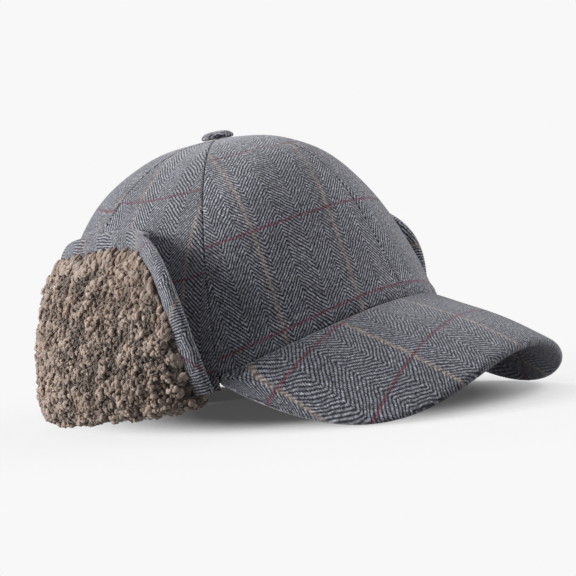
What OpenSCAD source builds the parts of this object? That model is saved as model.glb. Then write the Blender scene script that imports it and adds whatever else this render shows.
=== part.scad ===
// Trapper hat: a six-panel cap with an arched visor and one deep fleece-lined
// flap that goes round the ears and the neck. The flap lies folded up.
// The front faces -Y, the wearer's left is +X, and the hat stands on Z = 0.

/* [Crown] */
// Half length of the crown's lower edge, front to back
crown_half_length = 100; // [94:1:106]
// Half width of the crown's lower edge, side to side
crown_half_width = 89; // [84:1:95]
// Height of the peak above the lower edge
crown_height = 121; // [101:1:145]
// Height of the arch in the lower edge over the forehead
brow_lift = 28; // [23:1:33]
// Angle from the front at which that arch has run out
brow_angle = 98; // [90:1:106]
// Angle from the front of the seam just behind the visor
front_seam_angle = 66; // [64:1:80]
// Angle from the front of the seam between side and back panels
back_seam_angle = 122; // [110:1:135]
// Thickness of the tweed with its backing
panel_thickness = 1.4; // [1:0.1:1.6]
// Thickness of the lining
lining_thickness = 0.8; // [0.5:0.1:1]
// Thickness of the buckram behind the front panels
stiffener_thickness = 0.7; // [0.4:0.1:0.9]
// Share of the front panel's height that the buckram covers
stiffener_share = 0.62; // [0.4:0.01:0.8]

/* [Sweatband] */
// Height of the sweatband
sweatband_height = 32; // [25:1:40]
// Thickness of the sweatband
sweatband_thickness = 1.2; // [0.8:0.1:2]

/* [Top button] */
// Diameter of the covered button
button_diameter = 16.4; // [13:0.2:20]
// Height of the button above the crown
button_height = 4.2; // [3.6:0.1:5]
// Thickness of the cloth over the button
button_cloth = 0.8; // [0.5:0.1:1]
// Radius of the button's rivet
rivet_radius = 1.1; // [0.8:0.1:1.4]

/* [Visor] */
// Reach of the visor in front of the crown
visor_reach = 65; // [54:1:78]
// Angle from the front of the visor's two corners
visor_angle = 65; // [60:1:65]
// Drop of the visor's tip below the crown's lower edge
visor_tip_drop = 5.3; // [3:0.1:9]
// Depth to which the visor's sides are pulled down
visor_side_drop = 58; // [48:1:59]
// Upward crown of the visor between its seam and its edge
visor_bulge = 2.6; // [0:0.1:5]
// Thickness of the visor's board
board_thickness = 1.8; // [1.2:0.1:2.5]
// Thickness of each visor cover
cover_thickness = 1.1; // [0.8:0.1:1.5]

/* [Flap] */
// Angle from the front at which the flap begins
flap_front_angle = 66.6; // [66:0.1:70]
// Angle from the front at which the flap reaches its full height
flap_shoulder_angle = 115; // [108:0.5:120]
// Height of the flap at the ears
ear_height = 84.3; // [70:0.1:88]
// Height of the flap at the back
nape_height = 80; // [68:0.5:86]
// Number of hinged lengths that stand for the soft flap
flap_count = 11; // [11]
// Angle through which the flap folds down
fold_angle = 190; // [180:1:195]
// Thickness of the flap's tweed facing
facing_thickness = 1.2; // [0.8:0.1:1.6]
// Thickness that the fleece reaches well away from its rim
fleece_loft = 9.5; // [8:0.1:12]
// Share of the distance to the rim by which the fleece grows thicker
fleece_growth = 0.09; // [0.05:0.01:0.12]
// Width of the binding on each face of the rim
binding_width = 9; // [6:0.5:12]
// Thickness of the binding
binding_thickness = 0.85; // [0.5:0.05:1]
// Outward flare of the flap's front edge for each mm of height
front_flare = 0.53; // [0.2:0.01:0.6]
// Angle from the front at which the flare has run out
flare_end_angle = 97; // [93:0.5:104]
// Depth of the fold under the crown's lower edge
fold_depth = 6.9; // [5:0.1:9]

/* [Fits] */
// Gap between two crown panels, as an angle
panel_gap = 0.15; // [0.1:0.05:0.3]
// Gap between layers that lie on each other
layer_gap = 0.4; // [0.3:0.05:0.5]
// Gap between the crown and the flap's facing
flap_gap = 2.2; // [1.8:0.1:3]
// Gap between neighbouring lengths of the flap
length_gap = 0.6; // [0.4:0.1:1]
// Lean of the whole hat to the back as it stands
lean = 4.9; // [4:0.1:5.5]

/* [Hidden] */
// Crown curve at the front, the side and the back:
// bulge just above the edge, steepness there, and fullness towards the peak
CROWN_FRONT = [-0.20, 0.49, 0.74];
CROWN_SIDE = [-0.01, 0.47, 0.54];
CROWN_BACK = [0.08, 0.67, 0.76];
PEAK_OPEN = 0.98;
LINING_FOOT = 0.007;
SWEATBAND_FOOT = 0.009;
PANEL_ROWS = 12;
PANEL_COLUMNS = 8;

stiffener_depth = panel_thickness + layer_gap;
lining_depth = stiffener_depth + stiffener_thickness + layer_gap;
sweatband_depth = lining_depth + lining_thickness + layer_gap;

// The hinge line of the flap runs just outside and just below the crown's edge
HINGE_OUT = 2;
HINGE_DROP = 0.9;
FLAP_FOOT = 0.4;
SELVAGE = 1;
FRONT_POWER = 3.2;
FRONT_FULLNESS = 0.3;
binding_slack = 0.25;
fleece_start = facing_thickness + 0.2;
binding_outer = facing_thickness + 2 * binding_slack + SELVAGE;

// The fold is a half ellipse of fleece that hangs from the crown's edge
FOLD_INNER = -4.5;
FOLD_OUTER = 16.5;
FOLD_STEPS = 36;
FOLD_SIDES = 8;
FOLD_TAPER = 9;
fold_centre = (FOLD_INNER + FOLD_OUTER) / 2;
fold_half = (FOLD_OUTER - FOLD_INNER) / 2;
fold_first = flap_front_angle + 0.6;

VISOR_GAP = 0.15;
visor_thickness = 2 * cover_thickness + board_thickness + 2 * VISOR_GAP;

// Height and shift that put the hat's box on Z = 0 and its middle on the Z axis
stand_height = -min([for (p = fold_section(180)) tilt(p).z]);
front_end = tilt(visor_layer(0, 1, 2 * cover_thickness + VISOR_GAP)).y;
back_length = floor(flap_count / 2);
back_end = max([for (g = flap_grid(back_length)[1]) tilt(flap_point(back_length, g[0], g[1],
    fleece_start + fleece_thickness(g[2]))).y]);
centre_shift = -(front_end + back_end) / 2;

HALVES = ["right", "left"];
PANELS = ["front", "side", "back"];
LENGTHS = ["right_1", "right_2", "right_3", "right_4", "right_5", "back",
    "left_5", "left_4", "left_3", "left_2", "left_1"];
LAYERS = ["facing", "fleece", "binding"];

TWEED = [0.33, 0.34, 0.37];
FLEECE = [0.60, 0.53, 0.46];
LINING = [0.16, 0.16, 0.18];
BUCKRAM = [0.88, 0.86, 0.80];
BAND = [0.10, 0.10, 0.11];
METAL = [0.70, 0.70, 0.72];
BOARD = [0.20, 0.20, 0.22];

function unit(v) = v / norm(v);
function mix(a, b, t) = a + (b - a) * t;
function share(x, low, high) = max(0, min(1, (x - low) / (high - low)));

// From the hat's own axes to the pose in which it stands
function tilt(p) = [p.x, p.y * cos(lean) + p.z * sin(lean), p.z * cos(lean) - p.y * sin(lean)];
function stand(p) = tilt(p) + [0, centre_shift, stand_height];

// Lower edge of the crown. Angles run from the front, positive to the wearer's right
function brow(angle) = abs(angle) < brow_angle ? pow(cos(90 * angle / brow_angle), 2) : 0;
function edge(angle) = [-crown_half_width * sin(angle), -crown_half_length * cos(angle),
    brow_lift * brow(angle)];
function outward(angle) = unit([-sin(angle) / crown_half_width,
    -cos(angle) / crown_half_length, 0]);

// Crown surface: rise goes from 0 at the lower edge to 1 at the peak
function crown_shape(angle) = CROWN_FRONT * pow(max(cos(angle), 0), 2)
    + CROWN_SIDE * pow(sin(angle), 2) + CROWN_BACK * pow(max(-cos(angle), 0), 2);
function crown(angle, rise) = let (
        e = edge(angle), s = crown_shape(angle), r = 1 - rise,
        out = r * r * r + 3 * r * r * rise * (1 + s[0]) + 3 * r * rise * rise * s[2],
        up = 3 * r * r * rise * s[1] + 3 * r * rise * rise + rise * rise * rise)
    [e.x * out, e.y * out, mix(e.z, crown_height, up)];
function crown_normal(angle, rise) = unit(cross(
    crown(angle, rise + 0.002) - crown(angle, rise - 0.002),
    crown(angle + 0.5, rise) - crown(angle - 0.5, rise)));
function crown_layer(angle, rise, depth) = crown(angle, rise)
    - crown_normal(angle, rise) * depth;
// Rise at which the crown is a given height above its own lower edge
function rise_at(angle, height, low = 0, high = 1, steps = 16) =
    steps == 0 ? (low + high) / 2
    : let (middle = (low + high) / 2)
        crown(angle, middle).z - edge(angle).z < height
            ? rise_at(angle, height, middle, high, steps - 1)
            : rise_at(angle, height, low, middle, steps - 1);

// Closed sheet between two grids of points of one size, in the standing pose.
// The first grid is the outer face. A ring joins its last row to its first
module sheet(outer, inner, ring = false) {
    rows = len(outer);
    columns = len(outer[0]);
    last = ring ? rows - 1 : rows - 2;
    function at(side, i, j) = side * rows * columns + (i % rows) * columns + j;
    function two(a, b, c, d) = [[a, b, c], [a, c, d]];
    points = [for (grid = [outer, inner], row = grid, p = row) stand(p)];
    faces = concat(
        [for (i = [0:last], j = [0:columns - 2])
            each two(at(0, i, j), at(0, i, j + 1), at(0, i + 1, j + 1), at(0, i + 1, j))],
        [for (i = [0:last], j = [0:columns - 2])
            each two(at(1, i, j), at(1, i + 1, j), at(1, i + 1, j + 1), at(1, i, j + 1))],
        [for (i = [0:last])
            each two(at(0, i + 1, 0), at(1, i + 1, 0), at(1, i, 0), at(0, i, 0))],
        [for (i = [0:last])
            let (j = columns - 1)
            each two(at(0, i, j), at(1, i, j), at(1, i + 1, j), at(0, i + 1, j))],
        ring ? [] : [for (j = [0:columns - 2])
            each two(at(0, 0, j), at(1, 0, j), at(1, 0, j + 1), at(0, 0, j + 1))],
        ring ? [] : [for (i = [rows - 1], j = [0:columns - 2])
            each two(at(0, i, j + 1), at(1, i, j + 1), at(1, i, j), at(0, i, j))]);
    polyhedron(points, faces, convexity = 8);
}

// Bar swept along sections that share one outline. Caps lists its end triangles,
// and turned the sides whose quads are split along their other diagonal
module bar(sections, caps, turned = []) {
    count = len(sections);
    sides = len(sections[0]);
    function at(i, j) = i * sides + j % sides;
    points = [for (section = sections, p = section) stand(p)];
    faces = concat(
        [for (i = [0:count - 2], j = [0:sides - 1])
            each len(search(j, turned)) > 0
                ? [[at(i, j), at(i + 1, j), at(i, j + 1)],
                    [at(i + 1, j), at(i + 1, j + 1), at(i, j + 1)]]
                : [[at(i, j), at(i + 1, j), at(i + 1, j + 1)],
                    [at(i, j), at(i + 1, j + 1), at(i, j + 1)]]],
        [for (cap = caps) [for (j = cap) at(0, j)]],
        [for (cap = caps) [for (j = [2:-1:0]) at(count - 1, cap[j])]]);
    polyhedron(points, faces, convexity = 8);
}

module on_half(half) {
    if (half == "right") children();
    else mirror([1, 0, 0]) children();
}

// ---- Crown

function panel_start(panel) = panel == "front" ? 0
    : panel == "side" ? front_seam_angle : back_seam_angle;
function panel_end(panel) = panel == "front" ? front_seam_angle
    : panel == "side" ? back_seam_angle : 180;

module crown_piece(from, to, foot, top, depth, thickness) {
    angles = [for (i = [0:PANEL_COLUMNS])
        mix(from + panel_gap, to - panel_gap, i / PANEL_COLUMNS)];
    rises = [for (j = [0:PANEL_ROWS]) mix(foot, top, j / PANEL_ROWS)];
    sheet([for (a = angles) [for (r = rises) crown_layer(a, r, depth)]],
        [for (a = angles) [for (r = rises) crown_layer(a, r, depth + thickness)]]);
}

module panel(name, half) {
    color(TWEED) on_half(half)
        crown_piece(panel_start(name), panel_end(name), 0, PEAK_OPEN, 0, panel_thickness);
}

module lining(name, half) {
    color(LINING) on_half(half)
        crown_piece(panel_start(name), panel_end(name), LINING_FOOT, PEAK_OPEN,
            lining_depth, lining_thickness);
}

module front_stiffener(half) {
    color(BUCKRAM) on_half(half)
        crown_piece(2, front_seam_angle - 2, LINING_FOOT, stiffener_share,
            stiffener_depth, stiffener_thickness);
}

module sweatband() {
    angles = [for (i = [0:47]) i * 7.5 - 180];
    function row(angle, depth) = let (top = rise_at(angle, sweatband_height))
        [for (j = [0:3]) crown_layer(angle, mix(SWEATBAND_FOOT, top, j / 3), depth)];
    color(BAND)
        sheet([for (a = angles) row(a, sweatband_depth)],
            [for (a = angles) row(a, sweatband_depth + sweatband_thickness)], ring = true);
}

// ---- Top button

module at_peak() {
    translate(stand([0, 0, crown_height])) rotate([-lean, 0, 0]) children();
}

// Low dome with a flat foot: straight from foot to rim, then round up to its height
module dome(radius, foot, rim, height) {
    steps = 8;
    rotate_extrude($fn = 48)
        polygon(concat([[0, foot], [radius, foot]],
            [for (i = [0:steps]) let (t = 90 * i / steps)
                [radius * cos(t), rim + (height - rim) * sin(t)]]));
}

module button_cover() {
    color(TWEED) at_peak() difference() {
        dome(button_diameter / 2, 0.2, 1.4, button_height);
        dome(button_diameter / 2 - button_cloth, -1, 1.2, button_height - button_cloth);
    }
}

module button_shell() {
    radius = button_diameter / 2 - button_cloth - 0.15;
    color(METAL) at_peak() difference() {
        dome(radius, 0.3, 1.1, button_height - button_cloth - 0.15);
        dome(radius - 0.6, -1, 1, button_height - button_cloth - 0.75);
    }
}

module button_rivet() {
    back = -sweatband_depth - 0.5;
    color(METAL) at_peak() {
        translate([0, 0, 0.2]) cylinder(r = button_diameter / 4, h = 0.8, $fn = 48);
        translate([0, 0, back]) cylinder(r = rivet_radius, h = 0.6 - back, $fn = 32);
        translate([0, 0, back - 0.6]) cylinder(r = button_diameter / 3, h = 0.8, $fn = 48);
    }
}

// ---- Visor

// Outer edge: across goes from -1 at the left corner to 1 at the right one
function visor_edge(across) = let (
        w = abs(across), k = 1 - w,
        tip = [0, -crown_half_length - visor_reach, -visor_tip_drop],
        shoulder = tip - [52, 0, 0],
        flank = [-0.76 * crown_half_width, -crown_half_length - 0.53 * visor_reach,
            -visor_side_drop],
        corner = edge(visor_angle) + [-1.5, -1, -5],
        p = k * k * k * tip + 3 * k * k * w * shoulder + 3 * k * w * w * flank
            + w * w * w * corner)
    [across < 0 ? -p.x : p.x, p.y, p.z];
function visor(across, out) = let (
        seam = edge(across * visor_angle) + outward(across * visor_angle) * layer_gap,
        swell = visor_bulge * 4 * out * (1 - out) * (1 - across * across))
    mix(seam, visor_edge(across), out) + [0, -0.2, 1] * swell;
function visor_normal(across, out) = unit(cross(
    visor(across + 0.005, out) - visor(across - 0.005, out),
    visor(across, out + 0.005) - visor(across, out - 0.005)));
// Height is measured up from the visor's underside
function visor_layer(across, out, height) = visor(across, out)
    + visor_normal(across, out) * (height - (visor_thickness - 0.2) * (1 - out));

// Layer of the visor that stops short of its outline by a share of its width
module visor_sheet(inset, low, low_rim, thickness) {
    acrosses = [for (i = [0:24]) max(inset - 1, min(1 - inset, i / 12 - 1))];
    outs = [inset, 0.15, 0.3, 0.45, 0.6, 0.75, 0.88, inset == 0 ? 0.955 : 0.945,
        if (inset == 0) 1];
    function face(lift) = [for (a = acrosses) [for (o = outs)
        visor_layer(a, o, (o == 1 ? low_rim : low) + lift)]];
    sheet(face(thickness), face(0));
}

module visor_top_cover() {
    color(TWEED) visor_sheet(0, cover_thickness + board_thickness + 2 * VISOR_GAP,
        cover_thickness + VISOR_GAP, cover_thickness);
}

module visor_board() {
    low = cover_thickness + VISOR_GAP;
    color(BOARD) visor_sheet(0.03, low, low, board_thickness);
}

module visor_under_cover() {
    color(TWEED) visor_sheet(0, 0, 0, cover_thickness);
}

// ---- Flap

// Height of the flap's rim above the crown's lower edge
function rim_height(angle) = angle < flap_shoulder_angle
    ? let (near = share(flap_shoulder_angle - angle, 0, flap_shoulder_angle - flap_front_angle))
        ear_height * pow(1 - pow(near, FRONT_POWER), FRONT_FULLNESS)
    : mix(ear_height, nape_height,
        (1 - cos(180 * share(angle, flap_shoulder_angle, 180))) / 2);
// Angle at which the front edge has turned through a share of a right angle
function turn_angle(turn) = mix(flap_shoulder_angle, flap_front_angle,
    pow(cos(turn), 2 / FRONT_POWER));

function bound(i) = mix(flap_front_angle, 360 - flap_front_angle, i / flap_count);
function hinge_end(angle) = let (p = edge(angle) + outward(angle) * HINGE_OUT)
    [p.x, p.y, -HINGE_DROP];
function hinge_middle(k) = (hinge_end(bound(k)) + hinge_end(bound(k + 1))) / 2;
function hinge_half(k) = norm(hinge_end(bound(k + 1)) - hinge_end(bound(k))) / 2;
function along(k) = unit(hinge_end(bound(k + 1)) - hinge_end(bound(k)));
function away(k) = cross([0, 0, 1], along(k));
// Slope of the mitre between two lengths. The front edge has none
function mitre(k, end) = k + end == 0 ? 0
    : let (n = outward(bound(k + end))) abs(n * along(k)) / (n * away(k));
// Half width of a length, kept clear of its neighbours folded up and folded down
function flap_reach(k, end, out, up) = hinge_half(k)
    + mitre(k, end) * min(out, out * cos(fold_angle) + up * sin(fold_angle))
    - (k + end == 0 ? 0 : length_gap / 2);
// Point of length k: s runs along the hinge, up and out are measured from it
function flap_point(k, s, up, depth) = let (
        n = k == 0 ? facing_normal(s, up) : [0, 1],
        out = facing_out(k, s, up) + depth * n[1],
        width = mix(-flap_reach(k, 0, out, up), flap_reach(k, 1, out, up), s))
    hinge_middle(k) + along(k) * (width + depth * n[0]) + away(k) * out + [0, 0, up];
// Direction out of the first length, whose front edge flares, as [along, away]
function facing_normal(s, up) = unit([(1 - s) / (0.04 * hinge_half(0))
    * (facing_out(0, s - 0.01, up) - facing_out(0, s + 0.01, up)), 1]);
function flap_angle(k, s) = mix(bound(k), bound(k + 1), s);
function flap_rim(k, s) = let (a = flap_angle(k, s))
    edge(a).z + rim_height(a) + HINGE_DROP;

// Inner face of the facing: it clears the crown, and flares at the front edge
function crown_out(k, angle, up) = (crown(angle, rise_at(angle, up - HINGE_DROP
    - edge(angle).z)) - hinge_middle(k)) * away(k);
function facing_out(k, s, up) = let (
        near = share(flare_end_angle - flap_angle(k, s), 0,
            flare_end_angle - flap_front_angle))
    max([for (t = [0.05, 0.5, 0.95]) crown_out(k, flap_angle(k, t), up)])
        + flap_gap + front_flare * pow(near, 1.5) * up;

// Line of the rim as [s, up] pairs, and the direction into the flap at each.
// The first length has the front edge, the others only a top
function rim_line(k) = k == 0
    ? let (last = (bound(1) - flap_front_angle) / (bound(1) - bound(0)))
        concat([[0, FLAP_FOOT]],
            [for (t = [0, 12, 24, 37, 48, 58])
                let (s = (turn_angle(t) - bound(0)) / (bound(1) - bound(0)))
                [s, flap_rim(0, s)]],
            [[last, flap_rim(0, last)]])
    : [for (s = [0, 0.5, 1]) [s, flap_rim(k, s)]];
function rim_inward(k) = let (line = rim_line(k), last = len(line) - 1,
        scale_s = 2 * hinge_half(k))
    [for (i = [0:last])
        k > 0 || i == last ? [0, -1]
        : i == 0 ? [1 / scale_s, 0]
        : let (t = unit([(line[i + 1][0] - line[i - 1][0]) * scale_s,
                line[i + 1][1] - line[i - 1][1]]))
            [t[1] / scale_s, -t[0]]];
// Foot of each line that runs down the flap from the rim
function foot_line(k) = let (last = len(rim_line(k)) - 1, scale_s = 2 * hinge_half(k))
    k > 0 ? [for (i = [0:last]) [i / last, FLAP_FOOT]]
    : [for (i = [0:last])
        [mix((binding_width + 3) / scale_s, 1, pow(i / last, 1.3)), FLAP_FOOT]];

// Grid of [s, up, distance to the rim] over the flap, from the binding to the foot
function flap_grid(k) = let (line = rim_line(k), in = rim_inward(k), foot = foot_line(k),
        start = binding_thickness + 0.2)
    [for (i = [0:len(line) - 1])
        let (inside = line[i] + in[i] * (binding_width + 0.4))
        concat([for (d = [start, binding_width + 0.2]) concat(line[i] + in[i] * d, 0)],
            [for (t = [0, 0.2, 0.45, 0.7, 1])
                let (p = mix(inside, foot[i], t))
                concat(p, binding_width + 0.4
                    + norm([(p[0] - inside[0]) * 2 * hinge_half(k), p[1] - inside[1]]))])];

function fleece_thickness(d) = d == 0 ? SELVAGE
    : max(SELVAGE, fleece_loft * (1 - exp(-d / 9)) + fleece_growth * d
        - flap_gap - fleece_start);

module flap_sheet(k, start, pile) {
    grid = flap_grid(k);
    function face(extra) = [for (column = grid) [for (g = column)
        flap_point(k, g[0], g[1],
            start + extra * (pile ? fleece_thickness(g[2]) : facing_thickness))]];
    sheet(face(1), face(0));
}

function length_number(length) = length == "back" ? back_length
    : ord(length[len(length) - 1]) - ord("1");

module on_length(length) {
    if (length[0] == "l") mirror([1, 0, 0]) children();
    else children();
}

module flap_facing(length) {
    color(TWEED) on_length(length) flap_sheet(length_number(length), 0, false);
}

module flap_fleece(length) {
    color(FLEECE) on_length(length)
        flap_sheet(length_number(length), fleece_start, true);
}

module flap_binding(length) {
    k = length_number(length);
    line = rim_line(k);
    in = rim_inward(k);
    t = binding_thickness;
    u = binding_slack;
    outline = [[0, -u - t], [binding_width, -u - t], [binding_width, -u], [t, -u],
        [t, binding_outer], [binding_width, binding_outer],
        [binding_width, binding_outer + t], [0, binding_outer + t]];
    sections = [for (i = [0:len(line) - 1]) [for (q = outline)
        let (p = line[i] + in[i] * q[0])
        flap_point(k, p[0], p[1], q[1])]];
    color(TWEED * 1.15) on_length(length)
        bar(sections, [[0, 1, 2], [0, 2, 3], [0, 3, 4], [0, 4, 7], [4, 5, 6], [4, 6, 7]],
            turned = [2]);
}

// Strip of tweed that closes the rising edge of the crown behind the visor
module flap_root(half) {
    low = -HINGE_DROP + 0.6;
    angles = [for (i = [0:6]) mix(flap_front_angle - 0.4, 86, i / 6)];
    function row(angle, depth) = let (e = edge(angle) - outward(angle) * depth)
        [[e.x, e.y, low], [e.x, e.y, e.z - 0.2]];
    color(TWEED) on_half(half)
        sheet([for (a = angles) row(a, 0)], [for (a = angles) row(a, panel_thickness)]);
}

// Fleece that turns under the crown's edge and carries the back of the hat
function fold_swell(angle) = let (left = min(angle - fold_first, 360 - fold_first - angle))
    0.45 + 0.55 * sin(90 * share(left, 0, FOLD_TAPER));
function fold_section(angle) = let (e = edge(angle), n = outward(angle), s = fold_swell(angle))
    [for (j = [0:FOLD_SIDES]) let (t = 180 * j / FOLD_SIDES)
        [e.x, e.y, -HINGE_DROP] + n * (mix(0, fold_centre, s) + fold_half * s * cos(t))
            - [0, 0, mix(fold_depth * 0.85, fold_depth, s) * sin(t)]];

module flap_fold() {
    caps = [for (j = [1:FOLD_SIDES - 1]) [0, j, j + 1]];
    color(FLEECE)
        bar([for (i = [0:FOLD_STEPS])
            fold_section(mix(fold_first, 360 - fold_first, i / FOLD_STEPS))], caps);
}

for (name = PANELS, half = HALVES) {
    panel(name, half);
    lining(name, half);
}
for (half = HALVES) {
    front_stiffener(half);
    flap_root(half);
}
sweatband();
button_cover();
button_shell();
button_rivet();
visor_top_cover();
visor_board();
visor_under_cover();
flap_fold();
for (length = LENGTHS) {
    flap_facing(length);
    flap_fleece(length);
    flap_binding(length);
}
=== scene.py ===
# %% [markdown]
# A trapper hat in herringbone tweed, with a curly fleece flap folded up round it.
# The file follows a maker's order: the size and the shape rules first, then the
# light, the cloth and the pile as materials, and then the crown, the inside, the
# button, the visor and the flap. A cell of words like this one stands before each
# step and says what the piece is on a real hat and why it is made this way here.

# %% Start from the frame
import math

import bmesh
import bpy
import numpy as np
from mathutils import Matrix, Vector


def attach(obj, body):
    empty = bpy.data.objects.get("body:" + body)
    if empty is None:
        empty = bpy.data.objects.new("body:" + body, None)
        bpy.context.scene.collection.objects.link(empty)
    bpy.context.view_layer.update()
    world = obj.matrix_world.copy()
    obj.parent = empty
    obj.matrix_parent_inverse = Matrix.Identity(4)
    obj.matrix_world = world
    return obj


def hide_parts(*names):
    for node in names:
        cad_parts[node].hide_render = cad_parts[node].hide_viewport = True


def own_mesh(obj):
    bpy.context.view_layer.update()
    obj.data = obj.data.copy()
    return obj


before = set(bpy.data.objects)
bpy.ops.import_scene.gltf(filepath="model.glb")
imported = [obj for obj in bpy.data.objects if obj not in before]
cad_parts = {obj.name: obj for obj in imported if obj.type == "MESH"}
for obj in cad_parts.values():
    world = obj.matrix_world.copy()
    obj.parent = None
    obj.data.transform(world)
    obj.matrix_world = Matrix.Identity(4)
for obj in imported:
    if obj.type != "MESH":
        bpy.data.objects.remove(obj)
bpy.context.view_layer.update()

# %% [markdown]
# A cap's crown has a simple rule: an egg-shaped lower edge that rises over the
# forehead, and one smooth curve from there up to the peak. It could be lofted
# from curves by hand. Here it is a function of an angle and a rise, because the
# panels, the lining and the flap all have to follow the same crown. An angle runs
# from the front of the hat, positive to the wearer's right. Sizes are in
# millimetres on the hat's own axes, and stand() turns them to metres in the pose.

# %% The crown as a function
HALF_LENGTH, HALF_WIDTH, PEAK = 100.0, 89.0, 121.0
BROW_LIFT, BROW_ANGLE = 28.0, 98.0
LEAN, STAND, SHIFT = math.radians(4.9), 16.8257, 24.3374
FRONT_CURVE = np.array([-0.20, 0.49, 0.74])
SIDE_CURVE = np.array([-0.01, 0.47, 0.54])
BACK_CURVE = np.array([0.08, 0.67, 0.76])


def grid(*values):
    return np.broadcast_arrays(*[np.asarray(v, float) for v in values])


def stack(*parts):
    return np.stack(np.broadcast_arrays(*parts), -1)


def unit(v):
    return v / np.maximum(np.linalg.norm(v, axis=-1, keepdims=True), 1e-12)


def mix(a, b, t):
    return a + (b - a) * t


def ease(x, low, high):
    t = np.clip((x - low) / (high - low), 0, 1)
    return t * t * (3 - 2 * t)


def edge(angle):
    a = np.radians(np.asarray(angle, float))
    brow = np.where(np.abs(angle) < BROW_ANGLE, np.cos(a * 90 / BROW_ANGLE) ** 2, 0)
    return stack(-HALF_WIDTH * np.sin(a), -HALF_LENGTH * np.cos(a), BROW_LIFT * brow)


def outward(angle):
    a = np.radians(np.asarray(angle, float))
    return unit(stack(-np.sin(a) / HALF_WIDTH, -np.cos(a) / HALF_LENGTH, 0 * a))


def crown(angle, rise):
    angle, t = grid(angle, rise)
    a, r, e = np.radians(angle), 1 - t, edge(angle)
    front, side = np.maximum(np.cos(a), 0) ** 2, np.sin(a) ** 2
    back = np.maximum(-np.cos(a), 0) ** 2
    s = (front[..., None] * FRONT_CURVE + side[..., None] * SIDE_CURVE
         + back[..., None] * BACK_CURVE)
    out = r**3 + 3 * r * r * t * (1 + s[..., 0]) + 3 * r * t * t * s[..., 2]
    up = 3 * r * r * t * s[..., 1] + 3 * r * t * t + t**3
    return stack(e[..., 0] * out, e[..., 1] * out, e[..., 2] * (1 - up) + PEAK * up)


def crown_normal(angle, rise):
    angle, rise = grid(angle, rise)
    return unit(np.cross(crown(angle, rise + 0.002) - crown(angle, rise - 0.002),
                         crown(angle + 0.5, rise) - crown(angle - 0.5, rise)))


def rise_at(angle, height):
    angle, height = grid(angle, height)
    low, high = np.zeros(angle.shape), np.ones(angle.shape)
    for _ in range(16):
        middle = (low + high) / 2
        under = crown(angle, middle)[..., 2] - edge(angle)[..., 2] < height
        low, high = np.where(under, middle, low), np.where(under, high, middle)
    return (low + high) / 2


def stand(points):
    c, s = math.cos(LEAN), math.sin(LEAN)
    x, y, z = np.moveaxis(np.asarray(points, float), -1, 0)
    return stack(x, y * c + z * s + SHIFT, z * c - y * s + STAND) / 1000


def waves(points, length, seed, count=9):
    """Smooth unevenness about 1 high, the same on every run."""
    draw, total = np.random.default_rng(seed), 0.0
    for _ in range(count):
        way = unit(draw.normal(size=3)) * 2 * math.pi / (length * draw.uniform(0.7, 1.5))
        total = total + np.sin(points @ way + draw.uniform(0, 6.28))
    return total / math.sqrt(count)


print("the peak stands at", stand([0, 0, PEAK]).round(4).tolist())

# %% [markdown]
# A product view needs a long lens, so that the visor doesn't swell, and light
# that is soft and even. The camera is set from the point it looks at, its
# distance and three angles. Four wide area lamps stand for softboxes: the
# strongest comes low from the flap's side, one from the visor's far side and one
# from high behind model the crown, and a weak one in front opens the shadows. A
# sun lamp would be simpler, but its hard shadows don't suit cloth.

# %% Camera
def aim(azimuth, elevation, roll, target, distance):
    az, el, turn = (math.radians(v) for v in (azimuth, elevation, roll))
    back = Vector((-math.sin(az) * math.cos(el), -math.cos(az) * math.cos(el),
                   math.sin(el)))
    side = Vector((math.cos(az), -math.sin(az), 0))
    up = back.cross(side)
    right = side * math.cos(turn) + up * math.sin(turn)
    top = up * math.cos(turn) - side * math.sin(turn)
    turned = Matrix((right, top, back)).transposed().to_4x4()
    turned.translation = Vector(target) + back * distance
    return turned


camera = bpy.data.objects.new("camera", bpy.data.cameras.new("camera"))
bpy.context.scene.collection.objects.link(camera)
camera.matrix_world = aim(azimuth=51.81, elevation=4.57, roll=-6.24,
                          target=(0, 0.004337, 0.05994), distance=1.458)
camera.data.lens = 180.4
camera.data.shift_x = 0.0121
camera.data.shift_y = -0.0005
bpy.context.scene.camera = camera
bpy.context.scene.view_settings.view_transform = "Standard"


# %% Lamps
def softbox(name, place, size, watts):
    lamp = bpy.data.lights.new(name, "AREA")
    lamp.shape, lamp.size, lamp.energy = "DISK", size, watts
    box = bpy.data.objects.new(name, lamp)
    bpy.context.scene.collection.objects.link(box)
    box.location = place
    box.rotation_euler = (LIT_POINT - Vector(place)).to_track_quat("-Z", "Y").to_euler()


LIT_POINT = Vector((0, 0, 0.05))
for lamp in (("flap_side", (-1.2, 1.15, 0.52), 1.0, 26),
             ("visor_side", (1.2, -0.7, 1.0), 1.0, 14.2),
             ("high_back", (0.5, 1.0, 1.4), 1.0, 8.5),
             ("front_fill", (0.55, -1.35, 1.15), 1.1, 3.5)):
    softbox(*lamp)


# %% Helpers that build a node tree
def fill(tree, node, values):
    """Gives a node its inputs, by name or number: a socket is linked, None skipped."""
    for key, value in values.items():
        if isinstance(value, bpy.types.NodeSocket):
            tree.links.new(value, node.inputs[key])
        elif value is not None:
            node.inputs[key].default_value = value
    return node


def add(tree, kind, *values, at=None, out=0, **settings):
    """Adds a node and returns one output. Values fill its inputs in order."""
    new = tree.nodes.new(kind)
    for key, value in settings.items():
        setattr(new, key, value)
    fill(tree, new, {**dict(enumerate(values)), **(at or {})})
    return new.outputs[out] if new.outputs else None


def maths(tree, operation, *values):
    return add(tree, "ShaderNodeMath", *values, operation=operation)


def noise(tree, place, scale, detail, out=0, **more):
    return add(tree, "ShaderNodeTexNoise", place, out=out,
               at={"Scale": scale, "Detail": detail, **more})


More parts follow.
